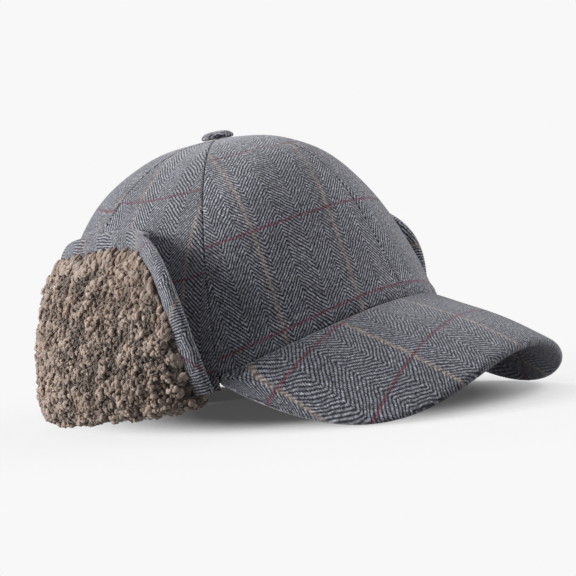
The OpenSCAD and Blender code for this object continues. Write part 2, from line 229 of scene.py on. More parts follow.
def scaled(tree, vector, factors, plus=None):
    """A vector times three factors, and moved by another vector if one is given."""
    return add(tree, "ShaderNodeVectorMath", vector, factors, plus,
               operation="MULTIPLY" if plus is None else "MULTIPLY_ADD")


def split(tree, vector):
    return fill(tree, tree.nodes.new("ShaderNodeSeparateXYZ"), {0: vector}).outputs


def blend(tree, share, a, b, how="MIX"):
    return add(tree, "ShaderNodeMix", at={0: share, 6: a, 7: b}, out=2,
               data_type="RGBA", blend_type=how)


def ramp(tree, value, low, high, to_low=0.0, to_high=1.0):
    return add(tree, "ShaderNodeMapRange", value, low, high, to_low, to_high,
               interpolation_type="SMOOTHSTEP")


def rgb(r, g, b):
    return (r, g, b, 1.0)


def place_of(tree):
    return add(tree, "ShaderNodeTexCoord", out=3)


# %% World and floor
AMBIENT, BACKDROP = rgb(0.14, 0.14, 0.147), rgb(0.938, 0.938, 0.938)
world = bpy.data.worlds.new("studio")
bpy.context.scene.world = world
world.use_nodes = True
tree = world.node_tree
tree.nodes.clear()
rays = tree.nodes.new("ShaderNodeLightPath").outputs
seen = maths(tree, "MAXIMUM", rays["Is Camera Ray"],
             maths(tree, "MAXIMUM", rays["Is Glossy Ray"], rays["Is Transmission Ray"]))
sky = add(tree, "ShaderNodeBackground", blend(tree, seen, AMBIENT, BACKDROP), 1.0)
add(tree, "ShaderNodeOutputWorld", sky)

FLOOR_HALF = 3.0
corners = [(x * FLOOR_HALF, y * FLOOR_HALF, 0)
           for x, y in ((-1, -1), (1, -1), (1, 1), (-1, 1))]
floor_mesh = bpy.data.meshes.new("floor")
floor_mesh.from_pydata(corners, [], [(0, 1, 2, 3)])
floor = bpy.data.objects.new("floor", floor_mesh)
bpy.context.scene.collection.objects.link(floor)

# The floor shows only where it catches shade: in a wide ellipse round the hat and
# in a small one under the crown. Each is given as factors and a shift of a place.
ROUND_HAT = ((10.6, 7.5, 0.0), (-0.064, 0.11, 0.0))
UNDER_CROWN = ((24.0, 24.0, 0.0), (-0.96, -2.0, 0.0))
pale = bpy.data.materials.new("pale_floor")
pale.use_nodes = True
tree = pale.node_tree
tree.nodes.clear()
place = place_of(tree)
reach, under = (add(tree, "ShaderNodeVectorMath", scaled(tree, place, *ellipse),
                    operation="LENGTH", out=1) for ellipse in (ROUND_HAT, UNDER_CROWN))
solid = maths(tree, "MULTIPLY", ramp(tree, reach, 0.55, 1.16, 0.93, 0.13),
              ramp(tree, reach, 1.16, 2.4, 1.0, 0.0))
solid = maths(tree, "MAXIMUM", solid, ramp(tree, under, 0.7, 1.3, 0.95, 0.0))
matt = add(tree, "ShaderNodeBsdfDiffuse", rgb(0.93, 0.93, 0.93))
clear = add(tree, "ShaderNodeBsdfTransparent", rgb(1, 1, 1))
add(tree, "ShaderNodeOutputMaterial",
    add(tree, "ShaderNodeMixShader", solid, clear, matt))
floor_mesh.materials.append(pale)
print("lamps, world and floor are set")

# %% [markdown]
# The cloth is a herringbone tweed: pale warp yarns run up the cloth and dark
# weft yarns cross them, each yarn passing over two and under two. The step from
# yarn to yarn draws slanting lines, and every 10 mm the slant turns round. Two
# coloured ends in the warp and the weft add a thin windowpane check. A picture
# of cloth would repeat and blur. The group below works the weave out from two
# lengths in millimetres along the cloth, which each piece carries as an
# attribute named weave, so the lines follow the panel as it was cut.

# %% The herringbone group
def new_tree(name, kind, inputs, outputs):
    """A node group with its sockets, its given values and its result node."""
    new = bpy.data.node_groups.new(name, kind)
    for label, sort in outputs:
        new.interface.new_socket(label, in_out="OUTPUT", socket_type=sort)
    for label, sort, value in inputs:
        made = new.interface.new_socket(label, in_out="INPUT", socket_type=sort)
        if value is not None:
            made.default_value = value
    return new, new.nodes.new("NodeGroupInput").outputs, new.nodes.new("NodeGroupOutput")


FLOAT, COLOR, VECTOR = "NodeSocketFloat", "NodeSocketColor", "NodeSocketVector"
herringbone, given, result = new_tree("herringbone", "ShaderNodeTree", [
    ("Weave", VECTOR, (0, 0, 0)), ("Column Width", FLOAT, 10.4),
    ("Line Pitch", FLOAT, 2.2), ("Slant", FLOAT, 1.2),
    ("Warp Check", FLOAT, 41.6), ("Weft Check", FLOAT, 51.0),
    ("Pale Yarn", COLOR, rgb(0.44, 0.445, 0.485)),
    ("Dark Yarn", COLOR, rgb(0.015, 0.016, 0.027)),
    ("Warp Line", COLOR, rgb(0.50, 0.42, 0.37)),
    ("Weft Line", COLOR, rgb(0.145, 0.028, 0.055))],
    [("Color", COLOR), ("Height", FLOAT), ("Roughness", FLOAT)])
t = herringbone
weave = given["Weave"]
u, v, shift = split(t, weave)
YARN = 0.46
ends = maths(t, "SNAP", u, YARN)
zigzag = maths(t, "PINGPONG", maths(t, "ADD", ends, shift), given["Column Width"])
wool = noise(t, weave, 1.3, 4.0)
climb = maths(t, "MULTIPLY_ADD", zigzag, given["Slant"], v)
climb = maths(t, "MULTIPLY_ADD", wool, 1.0, climb)
drift = noise(t, weave, 0.11, 2.0)
climb = maths(t, "MULTIPLY_ADD", drift, 4.0, climb)
turn = maths(t, "FRACT", maths(t, "DIVIDE", climb, given["Line Pitch"]))
swing = maths(t, "ABSOLUTE", maths(t, "SUBTRACT", turn, 0.5))
warp_up = ramp(t, swing, 0.16, 0.36)


def line(position, spacing, width):
    """A mask of the thin lines of the check, which lie at whole spacings."""
    off = maths(t, "PINGPONG", position, maths(t, "MULTIPLY", spacing, 0.5))
    return ramp(t, off, width, width * 0.6)


LONG, SHORT = 2.6, 0.55
melange = noise(t, scaled(t, weave, (LONG, SHORT, 1.0)), 1.3, 2.0)
flecks = noise(t, scaled(t, weave, (SHORT, LONG, 1.0)), 1.3, 2.0)
clouds = noise(t, weave, 0.05, 3.0)
nubs = noise(t, weave, 0.75, 3.0, Roughness=0.7)
pale_yarn = blend(t, 1.0, given["Pale Yarn"], ramp(t, melange, 0.32, 0.68, 0.45, 1.55),
                  "MULTIPLY")
dark_yarn = blend(t, 1.0, given["Dark Yarn"], ramp(t, flecks, 0.35, 0.72, 0.5, 3.4),
                  "MULTIPLY")
warp_line, weft_line = (line(u, given["Warp Check"], 1.1),
                        line(v, given["Weft Check"], 0.95))
both = blend(t, warp_up, dark_yarn, pale_yarn)
both = blend(t, maths(t, "MULTIPLY", warp_line, ramp(t, warp_up, 0.0, 1.0, 0.35, 0.9)),
             both, given["Warp Line"])
both = blend(t, maths(t, "MULTIPLY", weft_line, ramp(t, warp_up, 0.0, 1.0, 0.9, 0.5)),
             both, given["Weft Line"])
tone = maths(t, "MULTIPLY", ramp(t, clouds, 0.3, 0.7, 0.9, 1.1),
             ramp(t, nubs, 0.3, 0.72, 0.4, 1.8))
t.links.new(blend(t, 1.0, both, tone, "MULTIPLY"), result.inputs["Color"])
ridge = maths(t, "MULTIPLY", maths(t, "PINGPONG", u, YARN / 2), 0.6)
t.links.new(maths(t, "ADD", maths(t, "MULTIPLY", warp_up, 0.55),
                  maths(t, "ADD", ridge, maths(t, "MULTIPLY", melange, 0.7))),
            result.inputs["Height"])
t.links.new(ramp(t, melange, 0.3, 0.7, 0.82, 0.95), result.inputs["Roughness"])
print("herringbone:", len(t.nodes), "nodes")


# %% Tweed materials from the group
def finish_of(name):
    new = bpy.data.materials.new(name)
    new.use_nodes = True
    new.node_tree.nodes.clear()
    shader = new.node_tree.nodes.new("ShaderNodeBsdfPrincipled")
    add(new.node_tree, "ShaderNodeOutputMaterial", shader.outputs[0])
    return new, new.node_tree, shader


def attribute(tree, name, out="Vector"):
    new = tree.nodes.new("ShaderNodeAttribute")
    new.attribute_name = name
    return new.outputs[out]


def use(tree, shader, color, height, roughness, relief, constants):
    """Wires a finish. The relief is in millimetres."""
    bump = add(tree, "ShaderNodeBump", at={"Strength": 1.0, "Distance": relief / 1000,
                                           "Height": height})
    fill(tree, shader, {"Base Color": color, "Roughness": roughness, "Normal": bump,
                        **constants})


def tweed(name, **values):
    made, tree, shader = finish_of(name)
    placed = tree.nodes.new("ShaderNodeGroup")
    placed.node_tree = herringbone
    out = fill(tree, placed, {"Weave": attribute(tree, "weave"), **values}).outputs
    use(tree, shader, out["Color"], out["Height"], out["Roughness"], 0.16, {
        "Specular IOR Level": 0.25, "Sheen Weight": 0.5, "Sheen Roughness": 0.45,
        "Sheen Tint": rgb(0.9, 0.9, 0.95)})
    return made


crown_tweed = tweed("crown_tweed")
visor_tweed = tweed("visor_tweed", **{"Column Width": 8.62, "Warp Check": 34.5,
                                      "Weft Check": 35.5, "Line Pitch": 2.0,
                                      "Pale Yarn": rgb(0.37, 0.375, 0.41),
                                      "Dark Yarn": rgb(0.026, 0.028, 0.042)})
flap_tweed = tweed("flap_tweed")
print("tweed materials:", crown_tweed.name, visor_tweed.name, flap_tweed.name)

# %% [markdown]
# The other finishes are simpler. The pile is matt wool, pale and warm at the tips of its
# curls; the dark at their roots and between them is painted shade. So the curls carry
# numbers of their own: tip, how far up its curl a point lies; way and ring, where it lies
# along and round the tube; tuft, one draw for the whole curl; and clump, how far the curl
# stands up in a clump. The lining is a satin, the sweatband a cotton twill, and behind
# the front panels stands buckram, an open stiffened weave. Metal and board keep the CAD's
# shapes.

# %% Fleece material
# The first colour is painted shade: the dark that falls at the curls' roots and between
# them.
PAINTED_ROOT_SHADE, TIP_WOOL, WARM_WOOL = (rgb(0.10, 0.064, 0.046), rgb(0.75, 0.585, 0.485),
                                  rgb(0.40, 0.265, 0.195))
fleece, tree, shader = finish_of("fleece")
tip, tuft, clump, way = (attribute(tree, name, "Fac")
                         for name in ("tip", "tuft", "clump", "way"))
where = place_of(tree)
patch = noise(tree, where, 38.0, 3.0)
fibre = noise(tree, where, 1500.0, 3.0)
# Painted shade: the colour darkens towards each curl's root, and more for curls low in a
# clump.
rise = maths(tree, "MULTIPLY", tip, maths(tree, "MULTIPLY_ADD", clump, 0.85, 0.2))
along = maths(tree, "ADD", maths(tree, "MULTIPLY", way, 2.2),
              maths(tree, "MULTIPLY", tuft, 40.0))
lock = noise(tree, scaled(tree, attribute(tree, "ring"), (4.5, 4.5, 0.0), add(
    tree, "ShaderNodeCombineXYZ", 0.0, 0.0, along)), 1.3, 2.0)
fibre = maths(tree, "MULTIPLY", maths(tree, "ADD", fibre, lock), 0.5)
rise = maths(tree, "ADD", rise,
             maths(tree, "MULTIPLY", maths(tree, "SUBTRACT", fibre, 0.5), 1.9))
wool = blend(tree, ramp(tree, rise, 0.05, 0.8), PAINTED_ROOT_SHADE, TIP_WOOL)
wool = blend(tree, maths(tree, "MULTIPLY", ramp(tree, patch, 0.42, 0.7), 0.45),
             wool, WARM_WOOL)
wool = blend(tree, 1.0, wool, ramp(tree, tuft, 0.0, 1.0, 0.74, 1.16), "MULTIPLY")
use(tree, shader, wool, fibre, 0.95, 1.0, {
    "Specular IOR Level": 0.12, "Sheen Weight": 0.8, "Sheen Roughness": 0.6,
    "Sheen Tint": rgb(1.0, 0.93, 0.86), "Subsurface Weight": 0.45,
    "Subsurface Radius": (1.0, 0.75, 0.6), "Subsurface Scale": 0.0012})

# %% Lining, sweatband, buckram, board and metal
SATIN, TWILL = rgb(0.022, 0.023, 0.030), rgb(0.016, 0.016, 0.019)
satin, tree, shader = finish_of("satin_lining")
yarns = noise(tree, scaled(tree, attribute(tree, "weave"), (1.0, 0.12, 1.0)), 6.0, 2.0)
shade = blend(tree, 1.0, SATIN, ramp(tree, yarns, 0.3, 0.7, 0.7, 1.4), "MULTIPLY")
use(tree, shader, shade, yarns, ramp(tree, yarns, 0.3, 0.7, 0.3, 0.42), 0.05,
    {"Sheen Weight": 0.2})

twill, tree, shader = finish_of("cotton_twill")
cloth_at = attribute(tree, "weave")
across, up = split(tree, cloth_at)[:2]
rib = maths(tree, "PINGPONG", maths(tree, "ADD", across, up), 0.45)
speck = noise(tree, cloth_at, 2.5, 3.0)
both = maths(tree, "MULTIPLY_ADD", speck, 0.5, rib)
shade = blend(tree, 1.0, TWILL, ramp(tree, both, 0.2, 0.75, 0.6, 2.2), "MULTIPLY")
use(tree, shader, shade, both, ramp(tree, speck, 0.3, 0.7, 0.75, 0.9), 0.12,
    {"Sheen Weight": 0.15})

buckram, tree, shader = finish_of("buckram")
across, up = split(tree, attribute(tree, "weave"))[:2]
threads = maths(tree, "MAXIMUM", maths(tree, "PINGPONG", across, 0.6),
                maths(tree, "PINGPONG", up, 0.6))
shade = blend(tree, ramp(tree, threads, 0.3, 0.5), rgb(0.45, 0.42, 0.34),
              rgb(0.78, 0.75, 0.67))
use(tree, shader, shade, threads, ramp(tree, threads, 0.3, 0.5, 0.9, 0.6), 0.3, {})

board, tree, shader = finish_of("visor_board")
grain = noise(tree, place_of(tree), 900.0, 4.0)
shade = blend(tree, grain, rgb(0.028, 0.028, 0.033), rgb(0.05, 0.05, 0.057))
use(tree, shader, shade, grain, ramp(tree, grain, 0.3, 0.7, 0.45, 0.65), 0.05, {})

steel, tree, shader = finish_of("plated_steel")
brushed = noise(tree, scaled(tree, place_of(tree), (300.0, 300.0, 6000.0)), 1.0, 3.0)
shade = blend(tree, brushed, rgb(0.50, 0.50, 0.52), rgb(0.68, 0.68, 0.70))
use(tree, shader, shade, brushed, ramp(tree, brushed, 0.3, 0.7, 0.22, 0.38), 0.02,
    {"Metallic": 1.0})
print("finishes:", [m.name for m in bpy.data.materials if m.users])

# %% [markdown]
# Most pieces of a hat are sheets: a grid of points for the outer face and one for the
# inner face, joined along the border. The border rings of both grids fall together, which
# rounds the edge as a turned hem does. One builder makes them all, stores the cloth's own
# lengths on the points, and hangs each piece on the body it lies on.

# %% Sheets of cloth
TURN_IN = np.array([0.0, 0.2, 0.5, 0.95, 1.6, 2.5])
MERGE, COLLAPSE = 0.004, 0.001
LEAST_LENGTH, LEAST_SHARE, ROUND_UP = 0.0105, 0.31, 0.0005


def spaced(length, count, border=TURN_IN):
    """Places along a length: close together at both ends, even between them."""
    near = border * np.minimum(1.0, 0.2 * np.asarray(length) / border[-1])[..., None]
    middle = np.linspace(0, 1, count + 2)[1:-1]
    ends = near[..., -1:]
    inner = ends + (np.asarray(length)[..., None] - 2 * ends) * middle
    return np.concatenate(
        [near, inner, (np.asarray(length)[..., None] - near)[..., ::-1]], -1)


def rolled(distance, radius, drop):
    """Depth lost beside an edge, as a quarter round of that radius."""
    left = np.clip(1 - distance / radius, 0, 1)
    return drop * (1 - np.sqrt(1 - left**2))


def shell(name, outer, inner, weave, finish, body="hat", ring=False, flip=False,
          sharp=50):
    """A closed sheet between two grids of points, given in millimetres."""
    rows, columns = outer.shape[:2]
    a, b = np.arange(2 * rows * columns).reshape(2, rows, columns)
    faces = []

    def wall(i, j, k, m, turned):
        face = (a[i, j], a[k, m], b[k, m], b[i, j])
        faces.append(face if turned else face[::-1])

    for i in range(rows if ring else rows - 1):
        k = (i + 1) % rows
        for j in range(columns - 1):
            faces.append((a[i, j], a[i, j + 1], a[k, j + 1], a[k, j]))
            faces.append((b[i, j], b[k, j], b[k, j + 1], b[i, j + 1]))
        wall(i, 0, k, 0, True)
        wall(i, columns - 1, k, columns - 1, False)
    if not ring:
        for i, turned in ((0, False), (rows - 1, True)):
            for j in range(columns - 1):
                wall(i, j, i, j + 1, turned)
    points = np.concatenate([outer.reshape(-1, 3), inner.reshape(-1, 3)])
    lengths = np.tile(weave.reshape(-1, 3), (2, 1))
    return solid_of(name, points, faces, lengths, finish, body, flip, sharp)


def solid_of(name, points, faces, lengths, finish, body="hat", flip=False, sharp=50):
    mesh = bpy.data.meshes.new(name)
    mesh.from_pydata(points.tolist(), [], [tuple(int(n) for n in f) for f in faces])
    mesh.attributes.new("weave", "FLOAT_VECTOR", "POINT").data.foreach_set(
        "vector", lengths.astype(np.float32).ravel())
    work = bmesh.new()
    work.from_mesh(mesh)
    bmesh.ops.remove_doubles(work, verts=work.verts, dist=MERGE)
    bmesh.ops.dissolve_degenerate(work, edges=work.edges, dist=COLLAPSE)
    bmesh.ops.delete(work, geom=[e for e in work.edges if not e.link_faces],
                     context="EDGES")
    bmesh.ops.recalc_face_normals(work, faces=work.faces)
    work.to_mesh(mesh)
    work.free()
    place = stand(positions(mesh))
    if flip:
        place[:, 0] *= -1
    mesh.vertices.foreach_set("co", place.astype(np.float32).ravel())
    if flip:
        mesh.flip_normals()
    mesh.shade_smooth()
    mesh.set_sharp_from_angle(angle=math.radians(sharp))
    mesh.materials.append(finish)
    piece = bpy.data.objects.new(name, mesh)
    bpy.context.scene.collection.objects.link(piece)
    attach(piece, body)
    return piece


def positions(mesh, name=None):
    source = mesh.attributes[name].data if name else mesh.vertices
    flat = np.zeros(len(source) * 3, np.float32)
    source.foreach_get("vector" if name else "co", flat)
    return flat.reshape(-1, 3).astype(float)


def cloth_area(mesh):
    return sum(face.area for face in mesh.polygons) / 2


def cut(piece, node):
    """Hides the CAD node that a sheet stands for, and works out its flat size from its
    lengths.
    """
    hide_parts(node)
    lengths = positions(piece.data, "weave")
    width, length = (np.ptp(lengths[:, :2], axis=0) / 1000).tolist()
    area = cloth_area(piece.data)
    width, length = max(width, area / length), max(length, LEAST_LENGTH)


print("builder of sheets is ready")

# %% [markdown]
# Six tweed panels make the crown. Each is cut with its warp up the middle, and
# its edges are turned in at the seams, which leaves a fine dark groove. The seam
# in front is pressed flat, and the cloth puffs a little above the visor. A panel
# could be cut from a sphere and pushed about. Here it follows the crown function,
# and its edges roll inwards, over a wider strip at the foot than at the seams.
# The lining behind is the same shape, deeper and thinner, so one function makes
# both.

# %% Panels of the crown
PANELS = {"front": (0, 66, 33), "side": (66, 122, 94), "back": (122, 180, 151)}
BOTH_SIDES = ("right", "left")
PEAK_OPEN, INNER_FOOT = 0.98, 0.007
SAMPLES = 81
TWEED, LINING, LINING_DEPTH = 1.4, 0.8, 2.9
BUCKRAM, BUCKRAM_DEPTH = 0.7, 1.8
PRESSED_WITHIN, PRESSED, HEM_ROLL = 15, 0.45, 2.4
PUFF_RISE, PUFF_SPREAD, PUFF_END = 4.6, 2.3, 64


def crown_grid(start, end, middle, foot, top, columns, rows):
    """Angles and rises over a panel, with lengths along its rows and its middle."""
    fine = np.linspace(foot, top, 400)
    climb = np.linalg.norm(np.diff(crown(middle, fine), axis=0), axis=1)
    climb = np.concatenate([[0], np.cumsum(climb)])
    up = spaced(climb[-1], rows)
    rises = np.interp(up, climb, fine)
    across = np.linspace(start, end, SAMPLES)
    walk = np.linalg.norm(np.diff(crown(across[None], rises[:, None]), axis=1), axis=2)
    walk = np.concatenate([np.zeros((len(rises), 1)), np.cumsum(walk, 1)], 1)
    along = spaced(walk[:, -1], columns)
    angles = np.stack([np.interp(a, w, across) for a, w in zip(along, walk)])
    centre = np.array([np.interp(middle, across, w) for w in walk])
    border = np.minimum(along, walk[:, -1:] - along)
    return (angles, np.broadcast_to(rises[:, None], angles.shape),
            along - centre[:, None], np.broadcast_to(up[:, None], angles.shape), border)


def crown_piece(name, side, span, foot, top, depth, thickness, finish, groove, shift,
                uneven=0.0, puff=0.0, columns=30, rows=40):
    angles, rises, u, v, border = crown_grid(*span, foot, top, columns, rows)
    normals = crown_normal(angles, rises)
    hem = np.minimum(v, v.max() - v)
    base = crown(angles, rises)
    soft = uneven * waves(base, 42, 5) * ease(border, 0, 12) * ease(hem, 0, 10)
    soft = soft + (puff * np.exp(-(((v - PUFF_RISE) / PUFF_SPREAD) ** 2))
                   * ease(PUFF_END - np.abs(angles), 0, 9))
    pressed = np.where(np.abs(angles) < PRESSED_WITHIN, PRESSED, 1.0)
    fall = min(groove, thickness * 0.8)
    turned = np.maximum(rolled(border, groove, fall) * pressed,
                        rolled(hem, groove * HEM_ROLL, fall))
    outer = depth + turned - soft
    inner = np.maximum(depth + thickness - rolled(np.minimum(border, hem), 0.5,
                       thickness - turned.max()) - soft, outer)
    layers = [base - normals * d[..., None] for d in (outer, inner)]
    weave = stack(u - shift[0], v - shift[1], shift[2] + 0 * u)
    return shell(f"{name}_{side}", *layers, weave, finish, flip=side == "left")


CHECKS = {"front": (19.3, 58.0, 14.4), "side": (-31.0, 54.0, 0.0),
          "back": (12.0, 54.0, 5.0)}
for panel, span in PANELS.items():
    for side in BOTH_SIDES:
        piece = crown_piece(f"tweed_{panel}", side, span, 0.0, PEAK_OPEN, 0.0, TWEED,
                            crown_tweed, 1.3, CHECKS[panel], uneven=0.35,
                            puff=1.0 if panel == "front" else 0.0)
        cut(piece, f"{panel}_panel_{side}")
        lining = crown_piece(f"satin_{panel}", side, span, INNER_FOOT, PEAK_OPEN,
                             LINING_DEPTH, LINING, satin, 0.6, (0, 0, 0), uneven=0.3,
                             columns=16, rows=24)
        cut(lining, f"{panel}_lining_{side}")

# %% [markdown]
# Inside the crown, buckram stands behind the two front panels and a twill
# sweatband runs round the head. Both follow the crown function at their own
# depth. The band's two rows of stitches are one short stitch repeated hundreds
# of times, which is work for Geometry Nodes: the tree takes a line, puts a
# stitch on it at an even spacing and turns each one along the line.

# %% Buckram and sweatband
for side in BOTH_SIDES:
    piece = crown_piece("buckram", side, (2, 64, 33), INNER_FOOT, 0.62, BUCKRAM_DEPTH,
                        BUCKRAM, buckram, 0.3, (0, 0, 0), columns=14, rows=16)
    cut(piece, f"front_stiffener_{side}")

BAND_HEIGHT, BAND_DEPTH, BAND_THICK, BAND_FOOT = 32.0, 4.1, 1.2, 0.009
round_angles = np.arange(0, 360, 2.5)
tops = rise_at(round_angles, BAND_HEIGHT)
heights = spaced(BAND_HEIGHT, 8) / BAND_HEIGHT
band_angle, band_rise = np.broadcast_arrays(
    round_angles[:, None], mix(BAND_FOOT, tops[:, None], heights[None]))
base, normals = crown(band_angle, band_rise), crown_normal(band_angle, band_rise)
rim = rolled(np.minimum(heights, 1 - heights) * BAND_HEIGHT, 0.6, 0.5)[None]
soft = 0.25 * waves(base, 25, 11)
faces_of_band = [base - normals * d[..., None] for d in
                 (BAND_DEPTH + rim + 0 * soft,
                  BAND_DEPTH + BAND_THICK - rim + np.maximum(soft, 0) * (rim == 0))]
ring_walk = np.concatenate([[0], np.cumsum(np.linalg.norm(np.diff(base[:, 0], axis=0),
                                                          axis=1))])
weave = stack(ring_walk[:, None], heights[None] * BAND_HEIGHT, 0 * band_rise)
sweatband = shell("twill_sweatband", *faces_of_band, weave, twill, ring=True)
cut(sweatband, "sweatband")
print("sweatband:", len(sweatband.data.polygons), "faces,",
      round(ring_walk[-1]), "mm round")


# %% Helpers for Geometry Nodes
def geometry_tree(name, inputs):
    shape = "NodeSocketGeometry"
    return new_tree(name, "GeometryNodeTree", [("Geometry", shape, None), *inputs],
                    [("Geometry", shape)])


def grow(name, mesh, which, body="hat", **values):
    """Runs a tree on a mesh and returns its result as a plain piece."""
    seed_object = bpy.data.objects.new(name, mesh)
    bpy.context.scene.collection.objects.link(seed_object)
    modifier = seed_object.modifiers.new("nodes", "NODES")
    modifier.node_group = which
    for item in which.interface.items_tree:
        label = item.name.replace(" ", "_").lower()
        if item.in_out == "INPUT" and label in values:
            modifier[item.identifier] = values[label]
    bpy.context.view_layer.update()
    graph = bpy.context.evaluated_depsgraph_get()
    grown = bpy.data.meshes.new_from_object(seed_object.evaluated_get(graph),
                                            preserve_all_data_layers=True,
                                            depsgraph=graph)
    seed_object.modifiers.remove(modifier)
    seed_object.data = grown
    grown.name = name
    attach(seed_object, body)
    return seed_object


# %% The stitch tree
stitching, given, result = geometry_tree("stitching", [
    ("Spacing", FLOAT, 0.0032), ("Stitch Length", FLOAT, 0.0023),
    ("Thread", FLOAT, 0.0006), ("Finish", "NodeSocketMaterial", None)])
t = stitching
row = add(t, "GeometryNodeResampleCurve", at={
    "Curve": add(t, "GeometryNodeMeshToCurve", given["Geometry"]),
    "Length": given["Spacing"]}, mode="LENGTH")
one = add(t, "GeometryNodeMeshUVSphere", 6, 5, 0.5)
one = add(t, "GeometryNodeTransform", one, at={"Scale": add(
    t, "ShaderNodeCombineXYZ", given["Thread"], given["Thread"], given["Stitch Length"])})
one = add(t, "GeometryNodeSetShadeSmooth", one)
turned = add(t, "FunctionNodeAlignRotationToVector", at={
    "Vector": add(t, "GeometryNodeInputTangent")}, axis="Z")
many = add(t, "GeometryNodeInstanceOnPoints", row,
           at={"Instance": one, "Rotation": turned})
many = add(t, "GeometryNodeRealizeInstances", many)
many = add(t, "GeometryNodeSetMaterial", many, at={"Material": given["Finish"]})
t.links.new(many, result.inputs[0])


def line_mesh(name, points, closed=False):
    mesh = bpy.data.meshes.new(name)
    count = len(points)
    edges = [(i, (i + 1) % count) for i in range(count if closed else count - 1)]
    mesh.from_pydata(stand(points).tolist(), edges, [])
    return mesh


def row_of_band(height):
    rise = mix(BAND_FOOT, tops, height / BAND_HEIGHT)
    return (crown(round_angles, rise)
            - crown_normal(round_angles, rise) * (BAND_DEPTH + BAND_THICK + 0.1))


for number, height in enumerate((1.8, 29.6), 1):
    seam = grow(f"band_stitches_{number}", line_mesh("row", row_of_band(height), True),
                stitching, finish=twill)
    print(seam.name, len(seam.data.polygons), "faces")

# %% [markdown]
# The button covers the point where six panels meet. A maker draws a round of
# cloth over a metal shell and gathers it underneath, so the edge shows small
# folds. The cover is a grid swept round the shell, with waves that grow towards
# its foot. The shell and the rivet below it are turned metal: the CAD's own
# shapes are right for them, and only their finish is added.

# %% Covered button
sweep = np.linspace(0, 360, 121)[:-1, None]
outline = np.array([[0, 4.2], [1.5, 4.18], [3.0, 4.08], [4.5, 3.85], [5.8, 3.45],
                    [6.9, 2.9], [7.7, 2.2], [8.15, 1.45], [8.1, 0.75], [7.7, 0.3],
                    [7.3, 0.22]])
inside = np.array([[0, 3.4], [1.5, 3.38], [3.0, 3.28], [4.4, 3.05], [5.5, 2.7],
                   [6.4, 2.25], [7.0, 1.7], [7.35, 1.2], [7.38, 0.75], [7.34, 0.4],
                   [7.3, 0.22]])


def button_face(profile, folds):
    out, high = profile[:, 0][None], profile[:, 1][None]
    turn = np.radians(sweep)
    fold = folds * np.sin(11 * turn + 1.3 * np.sin(2 * turn)) * ease(out, 3.5, 8.2)
    out = out + fold * (high > 0.25)
    high = high + 0.25 * folds * np.sin(3 * turn + 1) * ease(out, 1, 6)
    return stack(out * np.sin(turn), -out * np.cos(turn), PEAK + high)


top_face = button_face(outline, 0.22)
weave = stack(top_face[..., 0] + 9, top_face[..., 1] * 1.1 + 12, 0 * top_face[..., 0])
button = shell("button_cloth", top_face, button_face(inside, 0.0), weave, crown_tweed,
               ring=True)
cut(button, "button_cover")


def coat(node, finish):
    """Gives a shape that the CAD has drawn its finish."""
    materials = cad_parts[node].data.materials
    materials.clear()
    materials.append(finish)


coat("button_shell", steel)
coat("button_rivet", steel)
print("button cover:", len(button.data.polygons), "faces")

# %% [markdown]
# The visor is a board between two covers. Its inner edge follows the arch of the
# crown, its outer edge is a long curve that dips at both sides, and the cloth
# turns over the rim in one soft roll. At the crown its cloth dips into the seam
# and runs on under the panels, so no light comes through. A visor could be bent
# from a flat plate with a curve modifier. Here straight lines join the two edges
# with a slight swell between them, because the CAD draws it so and the covers
# must meet it.

# %% The visor as a function
REACH, CORNER, TIP_DROP, SIDE_DROP, SWELL = 65.0, 65.0, 5.3, 58.0, 2.6
COVER, BOARD, VISOR_GAP = 1.1, 1.8, 0.15
VISOR_THICK = 2 * COVER + BOARD + 2 * VISOR_GAP
SEAM_ALLOWANCE, ALLOWANCE_SINK = (-2.4, -1.2), (-0.7, 1.1)
STITCHED_AT = 3.2


def visor_edge(across):
    w = np.abs(np.asarray(across, float))[..., None]
    k = 1 - w
    tip = np.array([0, -HALF_LENGTH - REACH, -TIP_DROP])
    flank = np.array([-0.76 * HALF_WIDTH, -HALF_LENGTH - 0.53 * REACH, -SIDE_DROP])
    corner = edge(CORNER) + [-1.5, -1, -5]
    p = (k**3 * tip + 3 * k * k * w * (tip - [52, 0, 0]) + 3 * k * w * w * flank
         + w**3 * corner)
    p[..., 0] = np.where(np.asarray(across) < 0, -p[..., 0], p[..., 0])
    return p


def visor(across, out):
    across, out = grid(across, out)
    seam = edge(across * CORNER) + outward(across * CORNER) * 0.4
    swell = SWELL * 4 * out * (1 - out) * (1 - across**2)
    return mix(seam, visor_edge(across), out[..., None]) + \
        np.array([0, -0.2, 1]) * swell[..., None]


def visor_layer(across, out, height):
    across, out, height = grid(across, out, height)
    normal = unit(np.cross(visor(across + 0.005, out) - visor(across - 0.005, out),
                           visor(across, out + 0.005) - visor(across, out - 0.005)))
    lift = height - (VISOR_THICK - 0.2) * (1 - out)
    return visor(across, out) + normal * lift[..., None]


# %% Visor covers
across = np.concatenate([-1 + TURN_IN / 100, np.linspace(-1, 1, 91)[2:-2],
                         (1 - TURN_IN / 100)[::-1]])
long = np.linalg.norm(visor_edge(across) - edge(across * CORNER), axis=-1)
from_seam = np.insert(spaced(long, 26), [0, 0], SEAM_ALLOWANCE, axis=1)
outs = from_seam / long[:, None]
wide = np.broadcast_to(across[:, None], outs.shape)
from_rim = long[:, None] - from_seam
end = (1 - np.abs(wide)) * 100
flat = visor(wide, outs)
step = np.hypot(np.diff(flat[..., 0], axis=0), np.diff(flat[..., 2], axis=0))
side_way = np.concatenate([np.zeros((1, outs.shape[1])), np.cumsum(step, 0)], 0)
side_way -= side_way[len(across) // 2]
weave = stack(side_way - 9.0, flat[..., 1] - 38 * wide**2 + 133.3, 0 * outs)
soft = 0.22 * waves(flat, 50, 3) * ease(from_rim, 0, 10)


def visor_cover(name, high, low, node):
    piece = shell(name, visor_layer(wide, outs, high), visor_layer(wide, outs, low),
                  weave, visor_tweed)
    cut(piece, node)


